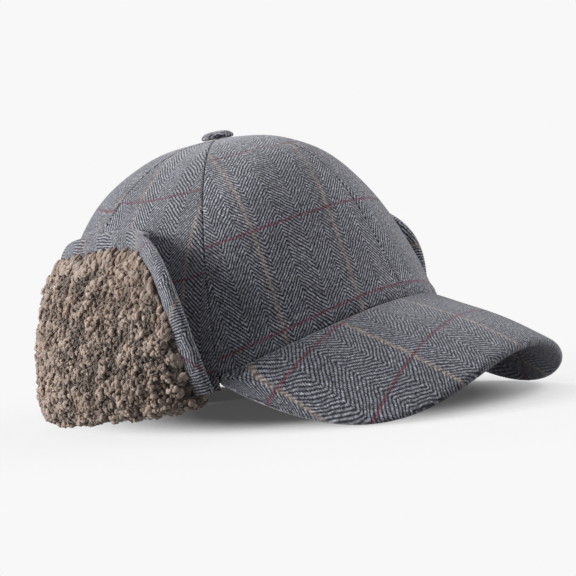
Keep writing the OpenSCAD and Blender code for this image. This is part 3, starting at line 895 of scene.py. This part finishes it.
hem = np.minimum(end, from_seam + 0.6)
top_high = VISOR_THICK - rolled(from_rim, 3.2, 2.0) - rolled(hem, 1.2, 0.6) + soft
top_high = top_high - np.where(
    from_seam < 0, np.interp(from_seam, SEAM_ALLOWANCE, ALLOWANCE_SINK),
    rolled(from_seam, 2.6, 0.95))
top_low = np.minimum(VISOR_THICK - COVER - rolled(from_rim, 2.6, 1.95), top_high - 0.1)
visor_cover("tweed_visor_top", top_high, top_low, "visor_top_cover")
crease = 0.35 * np.exp(-(((from_rim - STITCHED_AT) / 0.45) ** 2))
under_low = rolled(from_rim, 1.5, 0.95) + rolled(hem, 0.6, 0.4) + crease
visor_cover("tweed_visor_under", np.maximum(COVER, under_low + 0.1) + 0 * soft,
            under_low, "visor_under_cover")
coat("visor_board", board)

rim_way = np.linspace(-0.985, 0.985, 200)
rim_long = np.linalg.norm(visor_edge(rim_way) - edge(rim_way * CORNER), axis=-1)
under_row = visor_layer(rim_way, 1 - STITCHED_AT / rim_long, 0.22)
seam = grow("visor_stitches", line_mesh("row", under_row), stitching, finish=visor_tweed,
            thread=0.0005)
print("visor covers and", len(seam.data.polygons), "stitch faces")


# %% [markdown]
# One deep flap goes round the ears and the neck, folded up against the crown.
# Cloth bends anywhere, but a joint turns about a straight line, so the flap is
# eleven lengths that turn together. Two rules place its points. The chord rule
# is the CAD's: each length stands straight over its own hinge. The smooth rule
# follows the crown. What shows while the flap is up uses the smooth rule, and
# what shows when it is down uses the chord rule, with a little more width.

# %% The flap as two rules
FLAP_FRONT, SHOULDER, LENGTHS = 66.6, 115.0, 11
EAR, NAPE, FRONT_POWER, FRONT_FULLNESS = 84.3, 80.0, 3.2, 0.3
HINGE_OUT, HINGE_DROP, FOOT = 2.0, 0.9, 0.4
GAP, FLARE, FLARE_END, FOLD_TURN = 2.2, 0.53, 97.0, math.radians(190)
FACING, PILE_START, LOFT, GROWTH = 1.2, 1.4, 9.5, 0.09
TAPE, BULGE, COMBED, COMB_END, BURIED = 9.0, 0.9, 0.85, 20, 0.1


def bound(k):
    return FLAP_FRONT + (360 - 2 * FLAP_FRONT) * k / LENGTHS


def hinge_end(angle):
    p = edge(angle) + outward(angle) * HINGE_OUT
    p[..., 2] = -HINGE_DROP
    return p


def hinge_of(k):
    a, b = hinge_end(bound(k)), hinge_end(bound(k + 1))
    along = unit(b - a)
    return (a + b) / 2, np.linalg.norm(b - a) / 2, along, np.cross([0, 0, 1], along)


def mitre(k, at_end):
    if k + at_end == 0:
        return 0.0
    n, (_, _, along, away) = outward(bound(k + at_end)), hinge_of(k)
    return abs(n @ along) / (n @ away)


def near_front(angle):
    return np.clip((SHOULDER - angle) / (SHOULDER - FLAP_FRONT), 0, 1)


def rim_up(angle):
    high = mix(EAR, NAPE, (1 - np.cos(np.pi * np.clip(
        (angle - SHOULDER) / (180 - SHOULDER), 0, 1))) / 2)
    front = EAR * (1 - near_front(angle) ** FRONT_POWER) ** FRONT_FULLNESS
    return edge(angle)[..., 2] + np.where(angle < SHOULDER, front, high) + HINGE_DROP


def crown_at(angle, up):
    return crown(angle, rise_at(angle, up - HINGE_DROP - edge(angle)[..., 2]))


def flare(angle, up):
    near = np.clip((FLARE_END - angle) / (FLARE_END - FLAP_FRONT), 0, 1)
    return FLARE * near ** 1.5 * up


def chord_point(k, s, up, depth, wider=False):
    s, up, depth = grid(s, up, depth)
    centre, half, along, away = hinge_of(k)
    angle = mix(bound(k), bound(k + 1), s)
    clear = {t: (crown_at(mix(bound(k), bound(k + 1), t), up) - centre) @ away
             for t in (0, 0.05, 0.25, 0.5, 0.75, 0.95, 1)}
    if wider and k > 0:
        out = mix(clear[0], clear[1], s) + np.max(
            [clear[t] - mix(clear[0], clear[1], t) for t in (0, 0.25, 0.5, 0.75)], axis=0)
    else:
        out = np.max([clear[t] for t in (0.05, 0.5, 0.95)], axis=0)
    out = out + GAP + flare(angle, up)
    lean = 0 * s
    if k == 0:
        lean = (1 - s) / (0.04 * half) * (flare(mix(bound(0), bound(1), s - 0.01), up)
                                          - flare(mix(bound(0), bound(1), s + 0.01), up))
    across = unit(stack(lean, 1 + 0 * s)) * depth[..., None]
    far = out + across[..., 1]
    down = far * math.cos(FOLD_TURN) + up * math.sin(FOLD_TURN)
    width = np.maximum(far, down) if wider else far
    ends = [half + mitre(k, e) * width for e in (0, 1)]
    place = mix(-ends[0], ends[1], s) + across[..., 0]
    return centre + along * place[..., None] + away * far[..., None] + \
        np.array([0, 0, 1]) * up[..., None]


def smooth_point(k, s, up, depth):
    s, up, depth = grid(s, up, depth)
    angle = mix(bound(k), bound(k + 1), s)
    place = crown_at(angle, up)
    place[..., 2] = up - HINGE_DROP
    out = outward(angle)
    place = place + out * (GAP + 0.5 + flare(angle, up) + depth)[..., None]
    if k > 0:
        return place
    return mix(chord_point(0, s, up, depth), place, ease(s, 0.25, 1.0)[..., None])


# %% Lines that run down the flap from its rim
def rim_lines(k, count):
    """Rim points as [s, up], the way into the flap at each, and each line's foot."""
    scale = 2 * hinge_of(k)[1]
    if k > 0:
        s = np.linspace(0, 1, count)
        rim = stack(s, rim_up(mix(bound(k), bound(k + 1), s)))
        return rim, stack(0 * s, -1 + 0 * s), stack(s, FOOT + 0 * s), scale
    span = bound(1) - bound(0)
    stop = math.acos(near_front(bound(1)) ** (FRONT_POWER / 2))
    turn = np.linspace(0, stop, 3 * count)
    angle = mix(SHOULDER, FLAP_FRONT, np.cos(turn) ** (2 / FRONT_POWER))
    path = np.concatenate([[[0, FOOT], [0, 2.5], [0, 5]],
                           stack((angle - FLAP_FRONT) / span, rim_up(angle))])
    flat = path * [scale, 1]
    walk = np.concatenate([[0], np.cumsum(np.linalg.norm(np.diff(flat, axis=0), axis=1))])
    even = np.linspace(0, walk[-1], count)
    flat = stack(np.interp(even, walk, flat[:, 0]), np.interp(even, walk, flat[:, 1]))
    way = unit(np.gradient(flat, axis=0))
    inward = stack(way[:, 1] / scale, -way[:, 0])
    inward[0] = [1 / scale, 0]
    inward[:, 0] *= 1 - ease(flat[:, 0] / scale, 0.55, 1.0)
    inward = inward / np.linalg.norm(inward * [scale, 1], axis=1, keepdims=True)
    share = np.linspace(0, 1, count)
    foot = stack(mix((TAPE + 3) / scale, 1, share**1.3), FOOT + 0 * share)
    return flat / [scale, 1], inward, foot, scale


def down_lines(k, count, start, steps):
    """A grid of [s, up] from near the rim to the foot, with the distance to the rim."""
    rim, inward, foot, scale = rim_lines(k, count)
    inside = rim + inward * (TAPE + 0.4)
    first = np.linspace(start, TAPE + 0.4, 5)[:-1]
    head = rim[:, None] + inward[:, None] * first[None, :, None]
    tail = mix(inside[:, None], foot[:, None], np.linspace(0, 1, steps)[None, :, None])
    gone = np.linalg.norm((tail - inside[:, None]) * [scale, 1], axis=-1) + TAPE + 0.4
    return np.concatenate([head, tail], 1), np.concatenate(
        [np.broadcast_to(first, (count, len(first))), gone], 1), scale


BODIES = ["right_1", "right_2", "right_3", "right_4", "right_5", "back",
          "left_5", "left_4", "left_3", "left_2", "left_1"]
WALK = np.cumsum([0] + [2 * hinge_of(k)[1] for k in range(6)])


def cloth_lengths(k, points, scale):
    return stack(WALK[k] + points[..., 0] * scale - 14.0, points[..., 1] - 31.0,
                 0 * points[..., 0])


def length_of(name):
    k = BODIES.index(name)
    return (k, False) if k < 6 else (10 - k, True)


print("flap lengths along the hinge:", WALK.round(1).tolist(), "mm")

# %% [markdown]
# The facing is the tweed side of the flap. It lies against the crown now and
# shows when the flap is down, so each length bulges a little the other way, and
# the eleven together then look round. The binding is a tape of the same cloth,
# cut on the bias and folded over the rim: a U that is puffed by what it holds. It
# is swept along the rim from an outline, and each leg follows the rule of the
# side that it is on.

# %% Facings
def facing(name):
    k, flip = length_of(name)
    points, gone, scale = down_lines(k, 26 if k == 0 else 15, 1.1, 22)
    s, up = points[..., 0], points[..., 1]
    bulge = (BULGE * (1 - (2 * s - 1) ** 2) if k else 0 * s) * ease(up, 0, 12)
    side = np.minimum(s, 1 - s) * scale if k else (1 - s) * scale
    turned = rolled(np.maximum(side, 0), 0.5, 0.4)
    layers = [chord_point(k, s, up, d, wider=True) for d in
              (FACING - turned - bulge, turned - bulge)]
    weave = cloth_lengths(k, points, scale)
    piece = shell(f"tweed_flap_{name}", *layers, weave, flap_tweed, f"flap_{name}",
                  flip=flip)
    cut(piece, f"flap_facing_{name}")


# %% Binding
OUTSIDE = np.array([[9.3, -0.3], [9.1, -0.9], [8.3, -1.25], [6.5, -1.4], [4.5, -1.4],
                    [2.8, -1.3], [1.3, -1.0], [0.45, -0.2], [0.05, 0.9], [0.1, 2.1],
                    [0.6, 3.1], [1.6, 3.8], [3.0, 4.15], [4.8, 4.35], [6.6, 4.3],
                    [8.2, 4.0], [9.1, 3.5], [9.4, 2.9]])
INSIDE = np.array([[9.2, 2.7], [8.0, 3.2], [5.0, 3.5], [2.6, 3.2], [1.4, 2.6],
                   [0.9, 1.8], [0.9, 0.9], [1.4, 0.0], [2.8, -0.5], [5.0, -0.6],
                   [8.0, -0.5], [9.1, -0.2]])
TAPE_OUTLINE = np.concatenate([OUTSIDE, INSIDE])
BIAS = math.sqrt(0.5)


def spread_out(k, s, scale, depth):
    """Carries the turn of the tape a little past its length, under the next one."""
    more = 5.5 * (1 - ease(np.abs(depth - 0.6), 1.2, 2.6)) / scale
    past = np.where((s < 0.5) & (k == 0), 0.0, 1.0)
    return s + past * more * np.sign(s - 0.5) * ease(np.abs(s - 0.5), 0.3, 0.5)


def binding(name):
    k, flip = length_of(name)
    count = 56 if k == 0 else 22
    rim, inward, _, scale = rim_lines(k, count)
    points = rim[:, None] + inward[:, None] * TAPE_OUTLINE[None, :, :1]
    points[..., 0] = spread_out(k, points[..., 0], scale, TAPE_OUTLINE[:, 1])
    s, up = points[..., 0], points[..., 1]
    depth = np.broadcast_to(TAPE_OUTLINE[:, 1], s.shape)
    puff = 0.22 * waves(smooth_point(k, s, up, 0 * s), 12, 21)
    depth = depth + puff * np.sign(depth - 1.4) * (np.abs(depth - 1.4) > 2.4)
    past = np.maximum(np.abs(s - 0.5) - 0.5, 0) * scale
    sunk = depth + (1.4 - depth) * 0.12 * ease(past, 0, 0.5)
    lower = chord_point(k, np.clip(s, 0, 1), up, depth, wider=k > 0)
    upper = smooth_point(k, s, up - 0.25 * ease(past, 0, 0.5), sunk)
    place = mix(lower, upper, ease(depth, -1.15, -0.2)[..., None])
    sides = len(TAPE_OUTLINE)
    ring = np.arange(count * sides).reshape(count, sides)
    faces = [(ring[i, j], ring[i, (j + 1) % sides], ring[i + 1, (j + 1) % sides],
              ring[i + 1, j]) for i in range(count - 1) for j in range(sides)]
    top, last = len(OUTSIDE), sides - 1
    for i in (0, count - 1):
        mate = [min(last, max(top, last - round(j * (last - top) / (top - 1))))
                for j in range(top)]
        for j in range(top - 1):
            face = [ring[i, j], ring[i, j + 1], ring[i, mate[j + 1]], ring[i, mate[j]]]
            faces.append(tuple(dict.fromkeys(face)))
    along = np.concatenate([[0], np.cumsum(np.linalg.norm(
        np.diff(rim * [scale, 1], axis=0), axis=1))]) + (WALK[k] + 60 if k else 0)
    around = np.concatenate([[0], np.cumsum(np.linalg.norm(
        np.diff(TAPE_OUTLINE, axis=0), axis=1))])
    along, around = np.meshgrid(along, around, indexing="ij")
    weave = stack((along + around) * BIAS, (around - along) * BIAS, 0 * along)
    piece = solid_of(f"binding_{name}", place.reshape(-1, 3), faces,
                     weave.reshape(-1, 3), flap_tweed, f"flap_{name}", flip, sharp=70)
    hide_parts(f"flap_binding_{name}")
    long = float(np.linalg.norm(np.diff(place[:, 9], axis=0), axis=1).sum()) / 1000
    area = cloth_area(piece.data)


for name in BODIES:
    facing(name)
    binding(name)
print("facings and bindings:", 2 * len(BODIES))

# %% [markdown]
# The pile is what makes this hat: a fleece of small knotted curls with dark gaps
# between them. A bump map would leave the outline smooth. So the fleece is a
# padded, lumpy base with thousands of real curls on it. Geometry Nodes raise the
# base in clumps, scatter points on it at an even spacing, put one of three curls
# on each, point its length down the flap near the rim, where the pile is combed,
# and any way elsewhere. A curl is a bent tube of only a few dozen faces.

# %% The curl tree
pile, given, result = geometry_tree("pile", [
    ("Spacing", FLOAT, 0.0016), ("Curl Size", FLOAT, 0.0022),
    ("Clump Height", FLOAT, 0.0014), ("Seed", "NodeSocketInt", 1),
    ("Finish", "NodeSocketMaterial", None)])
t = pile


def stored(geometry, label, value, kind="FLOAT", domain="POINT"):
    return add(t, "GeometryNodeStoreNamedAttribute", data_type=kind, domain=domain,
               at={"Geometry": geometry, "Name": label, "Value": value})


def named(label, kind="FLOAT"):
    return add(t, "GeometryNodeInputNamedAttribute", at={"Name": label}, data_type=kind)


def chance(low, high, seed, kind="FLOAT"):
    first, last, out = {"FLOAT": (2, 3, 1), "INT": (4, 5, 2)}[kind]
    return add(t, "FunctionNodeRandomValue", out=out, data_type=kind, at={
        first: low, last: high, "Seed": maths(t, "ADD", given["Seed"], float(seed))})


def curl(turn, growth, thick, sides=6, steps=8):
    """A bent tube, one unit across, with its height kept as the attribute tip."""
    spine = add(t, "GeometryNodeCurveSpiral", steps, turn, 0.38, 0.38 * growth, 0.5)
    share = add(t, "GeometryNodeSplineParameter")
    round_end = maths(t, "POWER", maths(t, "SINE", maths(t, "MULTIPLY_ADD", share,
                                                         2.74, 0.2)), 0.6)
    ring = add(t, "GeometryNodeCurvePrimitiveCircle", at={"Resolution": sides,
                                                          "Radius": thick})
    place = add(t, "GeometryNodeInputPosition")
    tube = add(t, "GeometryNodeCurveToMesh", at={
        "Curve": stored(spine, "way", share), "Scale": round_end, "Fill Caps": True,
        "Profile Curve": stored(ring, "ring", place, "FLOAT_VECTOR")})
    high = add(t, "ShaderNodeMapRange", split(t, place)[2], -0.35, 0.8, 0.0, 1.0)
    return add(t, "GeometryNodeGeometryToInstance",
               add(t, "GeometryNodeSetShadeSmooth", stored(tube, "tip", high)))


curls = t.nodes.new("GeometryNodeJoinGeometry")
for made in (curl(0.8, 0.9, 0.45), curl(1.15, 0.5, 0.42), curl(0.45, 1.5, 0.5)):
    t.links.new(made, curls.inputs[0])

fine = add(t, "GeometryNodeSubdivideMesh", given["Geometry"], 1)
spot = add(t, "GeometryNodeInputPosition")
bent = scaled(t, noise(t, spot, 160.0, 2.0, out=1), (0.0032, 0.0032, 0.0032), spot)
cells = add(t, "ShaderNodeTexVoronoi", bent, at={"Scale": 150.0}, feature="F1")
knot = ramp(t, cells, 0.2, 0.72, 1.0, 0.0)
lump = maths(t, "MULTIPLY", maths(t, "MULTIPLY", maths(t, "SUBTRACT", knot, 0.6),
                                  named("pile")), given["Clump Height"])
raised = add(t, "GeometryNodeSetPosition", at={
    "Geometry": stored(fine, "clump", knot),
    "Offset": add(t, "ShaderNodeVectorMath", add(t, "GeometryNodeInputNormal"),
                  at={3: lump}, operation="SCALE")})
points = add(t, "GeometryNodeDistributePointsOnFaces", distribute_method="POISSON", at={
    "Mesh": raised, "Distance Min": given["Spacing"], "Density Max": 900000.0,
    "Density Factor": named("pile"), "Seed": given["Seed"]}).node.outputs
upright = add(t, "FunctionNodeAlignRotationToVector", at={
    "Rotation": points["Rotation"], "Vector": named("lay", "FLOAT_VECTOR")},
    axis="X", pivot_axis="Z")
loose = maths(t, "SUBTRACT", 1.0, named("comb"))
tilt = add(t, "ShaderNodeCombineXYZ", *(
    maths(t, "MULTIPLY", chance(-most, most, seed), loose)
    for most, seed in ((0.7, 2), (0.7, 3), (3.14, 1))))
turned = add(t, "FunctionNodeRotateRotation", upright,
             add(t, "FunctionNodeEulerToRotation", tilt), rotation_space="LOCAL")
size = maths(t, "MULTIPLY", given["Curl Size"], chance(0.75, 1.35, 4))
size = maths(t, "MULTIPLY", size, maths(t, "MULTIPLY_ADD", named("clump"), 0.35, 0.8))
longer = maths(t, "MULTIPLY", size, maths(t, "MULTIPLY_ADD", named("comb"), 0.7, 1.0))
many = add(t, "GeometryNodeInstanceOnPoints", at={
    "Points": points["Points"], "Instance": curls.outputs[0], "Pick Instance": True,
    "Instance Index": chance(0, 2, 5, "INT"), "Rotation": turned,
    "Scale": add(t, "ShaderNodeCombineXYZ", longer, size, size)})
marked = stored(many, "tuft", chance(0.0, 1.0, 6), domain="INSTANCE")
whole = t.nodes.new("GeometryNodeJoinGeometry")
for made in (raised, add(t, "GeometryNodeRealizeInstances", marked)):
    t.links.new(made, whole.inputs[0])
t.links.new(add(t, "GeometryNodeSetMaterial", whole.outputs[0],
                at={"Material": given["Finish"]}), result.inputs[0])
print("pile tree:", len(pile.nodes), "nodes")


# %% Padded bases and their curls
def pile_depth(gone):
    return LOFT * (1 - np.exp(-gone / 9)) + GROWTH * gone - GAP - PILE_START


def near_values(mesh, points, numbers):
    """Values of the nearest grid point, for the points that a merge has kept."""
    kept = positions(mesh)
    found = np.array([np.argmin(((points - p) ** 2).sum(1)) for p in kept])
    return numbers[found]


# The base's points take a low tip value, so the base shows the dark root colour: painted
# shade between the curls.
BASE_PAINTED_SHADE_TIP = 0.05


def furred(name, outer, inner, flat, body, flip, share, comb, seed):
    """A padded base between two grids, with curls grown where the share is 1."""
    side = [-1 if flip else 1, 1, 1]
    base = shell(f"base_{name}", outer, inner, flat, fleece, body, flip=flip, sharp=180)
    mesh = base.data
    both = stand(np.concatenate([outer.reshape(-1, 3), inner.reshape(-1, 3)])) * side
    lay = unit(np.gradient(stand(outer), axis=1)) * side
    on_outer = stack(share, comb, BASE_PAINTED_SHADE_TIP + 0 * comb, *np.moveaxis(lay, -1, 0))
    numbers = np.concatenate([on_outer.reshape(-1, 6).astype(float),
                              np.zeros((comb.size, 6))])
    numbers = near_values(mesh, both, numbers)
    for label, column in (("pile", 0), ("comb", 1), ("tip", 2)):
        mesh.attributes.new(label, "FLOAT", "POINT").data.foreach_set(
            "value", numbers[:, column].astype(np.float32))
    mesh.attributes.new("lay", "FLOAT_VECTOR", "POINT").data.foreach_set(
        "vector", numbers[:, 3:].astype(np.float32).ravel())
    bpy.data.objects.remove(base)
    piece = grow(f"fleece_{name}", mesh, pile, body, seed=seed, finish=fleece)
    return piece


def fleece_length(name, seed):
    k, flip = length_of(name)
    points, gone, scale = down_lines(k, 40 if k == 0 else 22, 5.5, 44)
    s, up = points[..., 0], points[..., 1]
    depth = PILE_START + pile_depth(gone)
    skin = smooth_point(k, s, up, depth)
    lumps = 0.55 * waves(skin, 11, 31) + 0.35 * waves(skin, 5.5, 32)
    depth = np.maximum(depth - 1.2 + lumps * ease(gone, TAPE, TAPE + 6),
                       PILE_START + 0.4)
    piece = furred(name, smooth_point(k, s, up, depth),
                   smooth_point(k, s, up, PILE_START + BURIED), stack(s, up, 0 * s),
                   f"flap_{name}", flip, gone > TAPE + 0.4,
                   COMBED * (1 - ease(gone, TAPE + 2, TAPE + COMB_END)), seed)
    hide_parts(f"flap_fleece_{name}")
    return len(piece.data.polygons)


total = sum(fleece_length(name, 10 + i) for i, name in enumerate(BODIES))
print("faces in the flap's fleece:", total)

# %% [markdown]
# Where the flap turns up, the pile rolls under the crown's edge and carries the back of
# the hat. The real fold is one soft roll that vanishes as the flap is let down. It can't
# turn with any one length, so each length gets its own piece of roll, which stays with
# the hat.
# Behind each corner of the visor a strip of tweed closes the crown's edge.

# %% The rolled fold
ROLL_INNER, ROLL_OUTER, ROLL_DROP, ROLL_TAPER = -4.5, 16.5, 6.9, 9.0
ROLL_FIRST, ROLL_SKIN = FLAP_FRONT + 4.5, 1.35


def roll_section(angle, turn, less):
    begun = np.clip((angle - ROLL_FIRST) / ROLL_TAPER, 0, 1)
    swell = mix(0.45, 1, np.sin(np.radians(90) * begun))
    half = (ROLL_OUTER - ROLL_INNER) / 2
    centre = swell * (ROLL_OUTER + ROLL_INNER) / 2
    place = edge(angle)
    place[..., 2] = -HINGE_DROP
    place = place + outward(angle) * (centre + (half * swell - less)
                                      * np.cos(turn))[..., None]
    place[..., 2] -= (mix(ROLL_DROP * 0.85, ROLL_DROP, swell) - less) * np.sin(turn)
    return place


def roll(name, seed):
    k, flip = length_of(name)
    start = ROLL_FIRST if k == 0 else bound(k)
    angle, turn = np.meshgrid(np.linspace(start, bound(k + 1), 20),
                              np.radians(np.linspace(0, 180, 22)), indexing="ij")
    lumps = 0.45 * waves(roll_section(angle, turn, 0 * turn), 9, 41)
    outer = roll_section(angle, turn, ROLL_SKIN + lumps * np.sin(turn))
    lid = np.linspace(outer[:, 0], outer[:, -1], 22, axis=1)
    lid[..., 2] = -HINGE_DROP + 0.3
    piece = furred(f"roll_{name}", outer, lid, stack(angle, turn, 0 * turn), "hat",
                   flip, np.sin(turn) > 0.03, 0 * turn, seed)
    middle = (start + bound(k + 1)) / 2
    foot = edge(middle) + outward(middle) * (ROLL_INNER + 1.5)
    foot[2] = -HINGE_DROP
    side = np.array([-1 if flip else 1, 1, 1])
    anchor, ahead = stand(foot) * side, stand(foot + outward(middle)) * side
    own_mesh(piece)
    return piece


rolls = [roll(name, 40 + i) for i, name in enumerate(BODIES)]
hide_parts("flap_fold")
print("faces in the rolled fold:", sum(len(r.data.polygons) for r in rolls))


# %% Strips behind the visor's corners
STRIP_FROM, STRIP_SPAN, STRIP_THICK = 66.2, 19.8, 1.4
for side in BOTH_SIDES:
    angle, share = np.meshgrid(spaced(STRIP_SPAN, 14) + STRIP_FROM,
                               spaced(1.0, 4, TURN_IN / 12), indexing="ij")
    place = edge(angle)
    place[..., 2] = mix(-0.3, place[..., 2] - 0.2, share)
    weave = stack((angle - STRIP_FROM) * 1.6, place[..., 2], 0 * angle)
    strip = shell(f"tweed_root_{side}", place, place - outward(angle) * STRIP_THICK,
                  weave, flap_tweed, flip=side == "left")
    cut(strip, f"flap_root_{side}")
